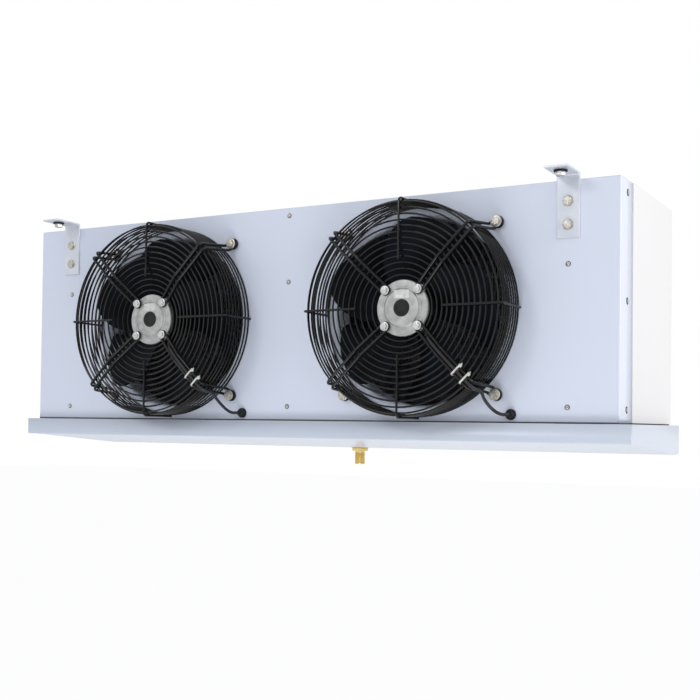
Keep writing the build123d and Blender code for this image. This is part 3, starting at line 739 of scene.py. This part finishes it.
first_ring, last_ring, face_rings, wall_rings = 0.070, 0.2215, 13, 8
arm_weld, stay_weld = 0.0005, 0.0004
face_radii = np.linspace(first_ring, last_ring, face_rings)
ring_drop = wire_arm + wire_ring - arm_weld
wall_radius = guard_radius - wire_stay - wire_ring + stay_weld
wall_levels = np.linspace(0.0022, face_level - 0.0155, wall_rings)
rings = [ring(r, arm_height(r) - ring_drop, wire_ring) for r in face_radii]
rings += [ring(wall_radius, h, wire_ring) for h in wall_levels]
for fan in fan_centres:
    put_at(fan, "rings", joined(rings), guard_wire, "guard_wire", "guard_rings")

# %% [markdown]
# ## Guard arms and stays
# Each arm is one thick wire bent like a hairpin: it loops round a motor bolt, runs out over the rings,
# turns down at the guard's edge and loops round a foot bolt. Circular arcs make it look bent, not cut.

# %% Guard arms
arm_gap, arm_bends = 0.008, (0.010, 0.030, 0.011, 0.007)


def arm_loop():
    """Closed hairpin in (along, across, height): a side out, a half circle at the foot, a side back."""
    along = np.array([motor_bolts, motor_bolts + 0.010, arm_kink, arm_corner,
                      foot_radius - 0.014, foot_radius])
    height = np.array([motor_level, motor_level, face_level, face_level, foot_level, foot_level])
    out = rounded(np.column_stack([along, np.full(6, arm_gap), height]), arm_bends)
    back = out[::-1] * np.array([1, -1, 1])
    half_turn = np.linspace(0, np.pi, 12)[1:-1]
    foot_end = polar(arm_gap, np.pi / 2 - half_turn, foot_level) + [foot_radius, 0, 0]
    motor_end = polar(-arm_gap, np.pi / 2 - half_turn, motor_level) + [motor_bolts, 0, 0]
    return np.vstack([out, foot_end, back, motor_end])


stay_start, stay_bend, above_panel = 0.100, 0.010, 0.0003
stay_path = rounded([(stay_start, 0.0, face_level), (guard_radius, 0.0, face_level),
                     (guard_radius, 0.0, above_panel)], [stay_bend])
arms = spun(wire(arm_loop(), wire_arm, 12, True), *diagonal)
stays = spun(wire(stay_path, wire_stay, 10), *(diagonal - np.pi / 4))
for fan in fan_centres:
    put_at(fan, "arms", arms, guard_wire, "guard_wire", "guard_arms")
    put_at(fan, "stays", stays, guard_wire, "guard_wire", "guard_stays")

# %% [markdown]
# ## Bolt heads
# A hexagon's edge lies at apothem / cos(angle within its sixth). The smaller of that and a cone gives
# the chamfered corners of a real head, and a wide thin disc below it is the head's flange.

# %% Bolt head and rubber washer


def hex_outline(angle):
    """Radius of a hexagon of corner radius 1 at an angle."""
    within = np.mod(angle, np.pi / 3) - np.pi / 6
    return np.cos(np.pi / 6) / np.cos(within)


def flange_head(corner, height, flange, flange_height, sides=48):
    """Hexagon head over a domed flange: radius = the smaller of hexagon and chamfer cone at each height."""
    angle = full_turn(sides)
    foot = flange_height * 1.25
    base = np.vstack([(0, 0), edge_arc(flange, flange_height, flange_height * 0.6), (corner * 1.02, foot)])
    level = foot + (height - foot) * np.array([0.0, 0.72, 0.86, 1.0, 1.0])
    cone = corner * np.array([1.0, 1.0, 0.95, 0.84, 0.0])
    upper = np.minimum(cone[:, None], corner * hex_outline(angle))
    spread = np.vstack([base[:, :1] * np.ones(sides), upper])
    return skin(polar(spread, angle, np.concatenate([base[:, 1], level])[:, None]), False, True)


def washer(outer, inner, height, bulge=0.0006):
    """Rubber ring: flat faces and a rounded rim that bulges under the bolt's load."""
    turn = np.linspace(-np.pi / 2, np.pi / 2, 9)
    rim = np.column_stack([outer - bulge + (bulge + 0.0012) * np.cos(turn) - 0.0012,
                           height / 2 + height / 2 * np.sin(turn)])
    profile = np.vstack([(inner, 0), rim, (inner, height), (inner, 0)])
    return turned(profile, 40)


def on_diagonals(shape, radius, height):
    """Copies of a shape at the four arms, at a radius and a height in a fan's own frame."""
    return joined([moved(shape, (radius * np.cos(a), radius * np.sin(a), height)) for a in diagonal])


foot_bolt = flange_head(corner=0.0096, height=0.0068, flange=0.0126, flange_height=0.0018)
motor_bolt = flange_head(corner=0.0078, height=0.0058, flange=0.0100, flange_height=0.0018)
foot_pad = washer(outer=0.0135, inner=0.0045, height=0.0070)
print("a bolt head has", len(foot_bolt[0]), "points")

# %% Bolts and washers of the guard
foot_bite, motor_bite = 0.0004, 0.0003
foot_heads = on_diagonals(foot_bolt, foot_radius, foot_level + wire_arm - foot_bite)
foot_pads = on_diagonals(foot_pad, foot_radius, 0.0)
motor_heads = on_diagonals(motor_bolt, motor_bolts, motor_level + wire_arm - motor_bite)
for fan in fan_centres:
    put_at(fan, "foot_bolt_heads", foot_heads, screw_zinc, "screw_zinc", "foot_bolts")
    put_at(fan, "foot_rubbers", foot_pads, rubber, "rubber", "foot_washers")
    put_at(fan, "motor_bolt_heads", motor_heads, bright_zinc, "screw_zinc", "motor_bolts")

# %% [markdown]
# ## The motor
# A die-cast flange holds the arms with four ears. Its outline is a radius that changes with the angle:
# a circle, swelling over each ear. The rounded edge scales that same outline, so one grid makes it all.

# %% Motor shapes
flange_radius, ear_radius, flange_thick = 0.060, 0.012, 0.008
rotor_radius, rotor_depth, rotor_gap = 0.058, 0.080, 0.001
plate_middle, plate_half, plate_corner = 0.0290, (0.0160, 0.0072), 0.0015


def eared(angle):
    """Flange outline over its circle's radius: the larger of 1 and the far side of the ear's circle."""
    off = np.mod(angle, np.pi / 2) - np.pi / 4
    root = np.clip(ear_radius ** 2 - (motor_bolts * np.sin(off)) ** 2, 0, None)
    ear = np.where(root > 0, motor_bolts * np.cos(off) + np.sqrt(root), 0.0) / flange_radius
    return np.maximum(1.0, ear)


def profile(*parts):
    """Profile from single (radius, height) pairs and arcs, its heights counted from the motor's seat."""
    return np.vstack(parts) + [0.0, motor_seat]


flange = turned(profile((0.0, -flange_thick), (0.058, -flange_thick), (0.060, 0.0015 - flange_thick),
                        edge_arc(flange_radius, 0.0, 0.0022), (0.050, 0.0), (0.0, 0.0)), 144, eared)
steps = turned(profile((0.0, -0.001), (0.0455, -0.001), edge_arc(0.0455, 0.0010, 0.0008), (0.0425, 0.0010),
                       (0.0420, 0.0004), edge_arc(0.0400, 0.0030, 0.0014), (0.0, 0.0030)), 96)
shaft = turned(profile((0.0, -flange_thick), (0.008, -flange_thick), (0.008, -0.064), (0.0, -0.064)), 32)
plug = turned(profile((0.0, 0.0028), (0.0185, 0.0028), edge_arc(0.0185, 0.0049, 0.0012), (0.0120, 0.0049),
                      (0.0112, 0.0036), (0.0, 0.0036)), 48)
corner = full_turn(32) + np.pi / 32
label = np.column_stack([
    plate_half[0] * np.sign(np.cos(corner)) + plate_corner * np.cos(corner),
    plate_middle + plate_half[1] * np.sign(np.sin(corner)) + plate_corner * np.sin(corner)])
bare_plate = prism(label, motor_seat + 0.0029, motor_seat + 0.0034, (0, 1, 2))
top = -flange_thick - rotor_gap
can = turned(profile((0.0, top), edge_arc(rotor_radius, top, 0.004)[::-1], (rotor_radius, top - 0.020),
                     (rotor_radius - 0.0008, top - 0.021), (rotor_radius - 0.0008, top - 0.023),
                     (rotor_radius, top - 0.024), edge_arc(rotor_radius, top - rotor_depth, 0.008, False),
                     (0.0, top - rotor_depth)), 72)
print("rotor's ends above the panel", np.round(motor_seat + top - np.array([rotor_depth, 0]), 4))

# %% Motor flange, plate, cap and rotor
for fan in fan_centres:
    put_at(fan, "motor_flange", joined([flange, steps, shaft]), diecast, "diecast", "motor_stator")
    put_at(fan, "bare_plate", bare_plate, bright_zinc, "diecast", crease=30.0)
    put_at(fan, "motor_plug", plug, rubber, "cap_black", "motor_cap")
    put_at(fan, "rotor_can", can, rotor_black, "rotor_black", "rotor", turns=True)

# %% [markdown]
# ## Swept blades
# A pressed axial blade is a twisted, cambered sheet. Along its span s the chord grows and the pitch
# flattens, and the middle of the chord sweeps round, which gives the sickle shape. Five share the rotor.

# %% Blades
blade_root, blade_tip, blade_level, camber = 0.0568, 0.1955, 0.030, 0.010


def blade(turn):
    """Point at span s and chord share t: angle = sweep(s) + chord(s) t cos(pitch) / r,
    height = level + chord(s) t sin(pitch) + camber (1 - t squared)."""
    s = np.linspace(0, 1, 26)[:, None]
    t = np.linspace(-1, 1, 21)[None, :]
    r = blade_root + (blade_tip - blade_root) * s
    rounding = 1 - 0.16 * np.clip((s - 0.88) / 0.12, 0, 1) ** 3
    chord = (0.050 + 0.046 * np.sin(s * np.pi / 2)) * rounding
    pitch = np.radians(40 - 15 * s)
    sweep = -0.42 * s ** 1.6
    angle = turn + sweep + chord * t * np.cos(pitch) / r
    height = blade_level + chord * t * np.sin(pitch) + camber * (1 - t ** 2) * (0.5 + 0.5 * s)
    return skin(polar(r, angle, height))


blades = joined([blade(np.pi / 2 + 2 * np.pi / 5 * i) for i in range(5)])
for fan in fan_centres:
    put_at(fan, "blades", blades, blade_black, "blade_black", "fan_blades", turns=True, thickness=0.0018,
           facing=(0, -1, 0), crease=60.0)

# %% [markdown]
# ## Motor leads
# A lead is flexible, so its line is a NURBS curve through a few guide points, not straight runs.
# It leaves the flange, is tied on the lower right arm, turns down at the guard's edge and enters a gland.
# The curve is given a round bevel and made a mesh, so its place lies in its points as for every piece.

# %% Lead line
lead_radius, lead_lift = 0.0035, 0.003242
cad_face, cad_motor_level = guard_top - 0.002858, 0.0868
on_slope = cad_motor_level + (0.100 - arm_slope) / (arm_kink - arm_slope) * (cad_face - cad_motor_level)
slant = np.cos(np.radians(45.0))
foot = foot_radius * slant
grommet_x, grommet_y = 0.212, -0.22118
lead_along = np.array([(0.0665, 0.079), (0.0815, 0.080), (0.0965, on_slope + lead_lift),
                       (arm_kink + 0.010, cad_face + lead_lift), (arm_corner - 0.008, cad_face + lead_lift),
                       (arm_corner + 0.014, cad_face - 0.004), (arm_corner + 0.017, cad_face - 0.036)])
lead_points = np.vstack([lead_along[:, [0, 0, 1]] * [slant, -slant, 1],
                         [(foot - 0.009, -foot - 0.012, 0.046), (foot + 0.004, grommet_y + 0.008, 0.030),
                          (grommet_x - 0.010, grommet_y - 0.001, 0.030), (grommet_x, grommet_y, 0.022),
                          (grommet_x, grommet_y, 0.010)]])
print("lead's guide points", len(lead_points), "straight runs",
      round(float(np.linalg.norm(np.diff(lead_points, axis=0), axis=1).sum()), 3), "m")

# %% Lead as a mesh


def lead_mesh(name, points):
    """Mesh of a bevelled NURBS curve of order 3 whose control points are the guide points."""
    curve = bpy.data.curves.new(name, "CURVE")
    curve.dimensions = "3D"
    curve.bevel_depth = lead_radius
    curve.bevel_resolution = 4
    curve.use_fill_caps = True
    curve.resolution_u = 10
    spline = curve.splines.new("NURBS")
    spline.points.add(len(points) - 1)
    spline.points.foreach_set("co", np.column_stack([points, np.ones(len(points))]).ravel())
    spline.order_u = 3
    spline.use_endpoint_u = True
    holder = bpy.data.objects.new(name + "_line", curve)
    scene.collection.objects.link(holder)
    bpy.context.view_layer.update()
    mesh = bpy.data.meshes.new_from_object(holder.evaluated_get(bpy.context.evaluated_depsgraph_get()))
    bpy.data.objects.remove(holder)
    bpy.data.curves.remove(curve)
    flat = np.zeros(len(mesh.vertices) * 3, np.float32)
    mesh.vertices.foreach_get("co", flat)
    faces = [list(polygon.vertices) for polygon in mesh.polygons]
    bpy.data.meshes.remove(mesh)
    return flat.reshape(-1, 3), faces


print("lead thickness", round(2 * lead_radius, 4))

# %% Ties, glands and leads


def tie_band(width, height, level):
    """Cable tie: a rounded rectangle (superellipse of power 4) round the wires, a head and a short tail."""
    way = polar(1.0, full_turn(40), 0.0)[:, :2]
    loop = np.sign(way) * np.abs(way) ** 0.5 * [width / 2, height / 2]
    shell = []
    for run, grow in ((-0.0018, 0.0), (-0.0018, 0.0011), (0.0018, 0.0011), (0.0018, 0.0)):
        scale = 1 + 2 * grow / np.array([width, height])
        shell.append(np.column_stack([np.full(40, run), loop * scale + [0, level]]))
    band = skin(np.array(shell), True, True)
    box = rectangle((-0.0030, 0.0030), (-0.0026, 0.0026)) + [0, width / 2 + 0.0022]
    head = prism(box, level - 0.0015, level + 0.0030, (0, 1, 2))
    strip = np.array([(-0.0015, 0.0), (0.0015, 0.0), (0.0010, 0.005), (-0.0010, 0.005)])
    tail = prism(strip + [0, width / 2 + 0.004], level + 0.0005, level + 0.0016, (0, 1, 2))
    return joined([band, head, tail])


gland = turned(np.vstack([(0.0, 0.0), (0.0115, 0.0), edge_arc(0.0115, 0.0046, 0.0014), (0.0094, 0.0048),
                          edge_arc(0.0088, 0.0115, 0.0026), (0.0037, 0.0115), (0.0, 0.0112)]), 40)
gland = moved(gland, (grommet_x, grommet_y, 0))
tie_width, tie_height, tie_radii = 0.0232, 0.0107, (0.1899, 0.2152)
tie = tie_band(tie_width, tie_height, cad_face - 0.0038 + tie_height / 2)
ties = spun(joined([moved(tie, (r, 0, 0)) for r in tie_radii]), -np.pi / 4)
for fan in fan_centres:
    line = at_fan((lead_points, []), fan)[0]
    put(f"lead_{fan}", lead_mesh(f"lead_{fan}", line), sheath, "lead_sheath",
        stands_for=(f"fan_lead_{fan}",))
    put_at(fan, "gland", gland, rubber, "rubber", "lead_grommet")
    put_at(fan, "ties", ties, nylon, "tie_white", "lead_ties")

# %% [markdown]
# ## Hangers
# Each hanger is a flat zinc-plated bar with one right-angle bend. Its section, with a real bend radius,
# is carried across the bar's width. The rod's nut and rubber washer hang under the flange.

# %% Hanger bars
bar_thick, outside_bend, hole_radius = 0.0045, 0.0065, 0.0055
hanger_x, hole_y = 0.668, 0.2605
turn = np.linspace(0, np.pi / 2, 9)
for face, row in ((-1, "front"), (1, "rear")):
    for side, name in ((-1, "left"), (1, "right")):
        low, high = np.array(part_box(f"hanger_{row}_{name}"))
        wall_y, free_y = (high[1], low[1]) if face < 0 else (low[1], high[1])
        start_y = wall_y + face * outside_bend
        plate, _, _ = plate_with_hole(np.array([side * hanger_x, face * hole_y]), hole_radius,
                                      (low[0], min(start_y, free_y)), (high[0], max(start_y, free_y)), 48,
                                      (0.0, 0.4, 0.9, 1.0))
        flat = np.concatenate([plate, np.full(plate.shape[:2] + (1,), high[2])], -1)
        across = levels_on_edge(plate, 1, start_y)[:, None]
        leg_y = np.concatenate([start_y - face * outside_bend * np.sin(turn), [wall_y] * 2])
        leg_z = high[2] - np.concatenate([outside_bend * (1 - np.cos(turn)),
                                          [outside_bend + 0.002, high[2] - low[2]]])
        leg = np.stack(np.broadcast_arrays(across, leg_y, leg_z), -1)
        bar = put(f"hanger_bar_{row}_{name}", joined([skin(flat, False, True), skin(leg)]), hanger_zinc,
                  "hanger_zinc", stands_for=(f"hanger_{row}_{name}",), thickness=bar_thick,
                  facing=(0, 0, 1))
        soft = bar.modifiers.new("edge", "BEVEL")
        soft.width, soft.segments, soft.limit_method, soft.angle_limit = 0.0007, 2, "ANGLE", np.radians(50)

# %% Hanger bolts, rubbers and rod nuts
leg_face, rubber_thick, bolt_half = 0.2120, 0.0040, 0.0065
bolt_low, bolt_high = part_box("hanger_bolts")
bolt_levels = (bolt_high[2] - bolt_half, bolt_low[2] + bolt_half)
leg_bolt = flange_head(corner=0.0102, height=0.0055, flange=0.0114, flange_height=0.0010)
rod_nut = flange_head(corner=0.0098, height=0.0080, flange=0.0112, flange_height=0.0016)
heads, pads, nuts = [], [], []
for side in (-1, 1):
    for face in (-1, 1):
        outwards = ((-face, 0, 0), (0, 0, 1), (0, face, 0))
        heads += [moved(leg_bolt, (side * hanger_x, face * leg_face, z), outwards) for z in bolt_levels]
        x, y = side * hanger_x, face * hole_y
        pads.append(moved(washer(0.0140, hole_radius, rubber_thick), (x, y, -bar_thick), DOWNWARDS))
        nuts.append(moved(rod_nut, (x, y, -bar_thick - rubber_thick), DOWNWARDS))
put("hanger_bolt_heads", joined(heads), screw_zinc, "screw_zinc", stands_for=("hanger_bolts",))
put("hanger_rubbers", joined(pads), rubber, "rubber", stands_for=("hanger_washers",))
put("hanger_rod_nuts", joined(nuts), bright_zinc, "screw_zinc", stands_for=("hanger_nuts",))

# %% [markdown]
# ## The brass drain
# The spigot is turned brass with a pipe thread. A thread is a lathe surface whose radius also depends on
# the phase 2 pi z / pitch - angle, so the groove climbs as it goes round.

# %% Drain
drain_low, drain_high = np.array(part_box("drain_fitting"))
pipe_radius, bore, neck = 0.0132, 0.0095, 0.012
thread_pitch, thread_depth = 0.0018, 0.0010


def threaded(top, bottom):
    """Pipe thread: radius minus depth times a triangle wave of the helix phase, fading at both ends."""
    z = np.linspace(top, bottom, int((top - bottom) / thread_pitch * 10))[:, None]
    angle = full_turn(48)
    wave = np.abs(2 * np.mod(z / thread_pitch - angle / (2 * np.pi), 1.0) - 1)
    fade = np.clip(np.minimum(top - z, z - bottom) / thread_pitch, 0, 1)
    return polar(pipe_radius - thread_depth * wave * fade, angle, z)


def hoops(*pairs):
    """Rows of points round the axis, one for each (radius, level) pair."""
    pairs = np.array(pairs)
    return polar(pairs[:, :1], full_turn(48), pairs[:, 1:])


neck_end, mouth_level = gutter_level - neck, drain_low[2]
neck_rows = hoops((bore, drain_high[2]), (pipe_radius, drain_high[2]), (pipe_radius, neck_end))
mouth_rows = hoops((0.0124, mouth_level), (bore + 0.0006, mouth_level), (bore, mouth_level + 0.0006))
spigot = np.concatenate([neck_rows, threaded(neck_end, mouth_level + 0.0015), mouth_rows])
hexagon = flange_head(corner=0.0232, height=0.0088, flange=0.0205, flange_height=0.0012)
hexagon = moved(hexagon, (0, 0, gutter_level), DOWNWARDS)
drain_place = (drain_low + drain_high) / 2 * [1, 1, 0]
put("drain_spigot", moved(joined([skin(spigot, True, True), hexagon]), drain_place), brass, "brass",
    stands_for=("drain_fitting",))

# %% [markdown]
# ## The coil
# A real coil has fins every few millimetres. Each fin is a thin pleated strip, a zigzag along the depth,
# and hundreds of copies are worked out as one array, so the rear view shows a true finned face.

# %% Fins
coil_low, coil_high = np.array(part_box("fin_pack"))
fin_pitch, fin_half, pleat_depth, folds = 0.0062, 0.00022, 0.0007, 13
fin_x = np.arange(coil_low[0] + 0.004, coil_high[0] - 0.003, fin_pitch)
edge = rectangle((-fin_half, fin_half), (coil_low[2], coil_high[2]))
fin_points = np.zeros((len(fin_x), folds, 4, 3))
fin_points[..., 0] = fin_x[:, None, None] + (pleat_depth * (-1.0) ** np.arange(folds))[:, None] + edge[:, 0]
fin_points[..., 1] = np.linspace(coil_low[1], coil_high[1], folds)[:, None]
fin_points[..., 2] = edge[:, 1]
fin_ends = [list(range(4)), list(range(4 * folds - 4, 4 * folds))]
one_fin = np.array(skin(fin_points[0], False, True)[1] + fin_ends)
fin_faces = (one_fin + 4 * folds * np.arange(len(fin_x))[:, None, None]).reshape(-1, 4)
put("fins", (fin_points.reshape(-1, 3), fin_faces.tolist()), fin_metal, "fins", stands_for=("fin_pack",),
    crease=10.0)
print("fins", len(fin_x))

# %% Tubes through the fins
rows, levels, tube_radius = 4, 5, 0.0065
places = [coil_low[1:] + (coil_high - coil_low)[1:] * [(row + 0.5) / rows, (level + 0.5) / levels]
          for row in range(rows) for level in range(levels)]
tubes = [wire([(x, *place) for x in (coil_low[0], 0.0, coil_high[0])], tube_radius, 12) for place in places]
put("coil_collars", joined(tubes), fin_metal, "fins")

# %% [markdown]
# ## Dressing the kept CAD nodes
# Roof, end plates, partition, pipes and the terminal box already have the right shape,
# so they keep their own solids and only get a finish.

# %% Finishes for CAD nodes
kept = {"top_panel": cover_paint, "centre_divider": galvanised, "suction_header": copper,
        "liquid_distributor": brass, "capillary_tubes": copper, "terminal_box": box_plastic,
        "drain_locknut": brass}
for name in ("left", "right"):
    kept[f"end_plate_{name}"] = galvanised
    kept[f"return_bends_{name}"] = copper
for name, material in kept.items():
    node = frame["nodes"][name]
    for slot_at in node.material_slots:
        slot_at.material = material
    if not node.material_slots:
        node.data.materials.append(material)
print("kept CAD nodes", len(kept))

# %% [markdown]
# ## Floor
# The cooler hangs from a ceiling, so the floor lies well below it and only takes a faint shadow.

# %% Floor
floor_level, reach = -2.2, (-30, 30)
floor_mesh = bpy.data.meshes.new("floor")
floor_mesh.from_pydata([(x, y, floor_level) for x, y in rectangle(reach, reach)], [], [(0, 1, 2, 3)])
floor = bpy.data.objects.new("floor", floor_mesh)
scene.collection.objects.link(floor)
floor_finish = recipe("floor_finish", 0.8)
between(floor_finish, grain(floor_finish, 0.7), ((0.88, 0.88, 0.88), (0.90, 0.90, 0.90)))
floor_tree = floor_finish.node_tree
white_to_eyes(floor_tree, floor_tree.nodes["Principled BSDF"], 0.95, floor_tree.nodes["Material Output"])
floor_mesh.materials.append(floor_finish)
print("floor at", floor_level)
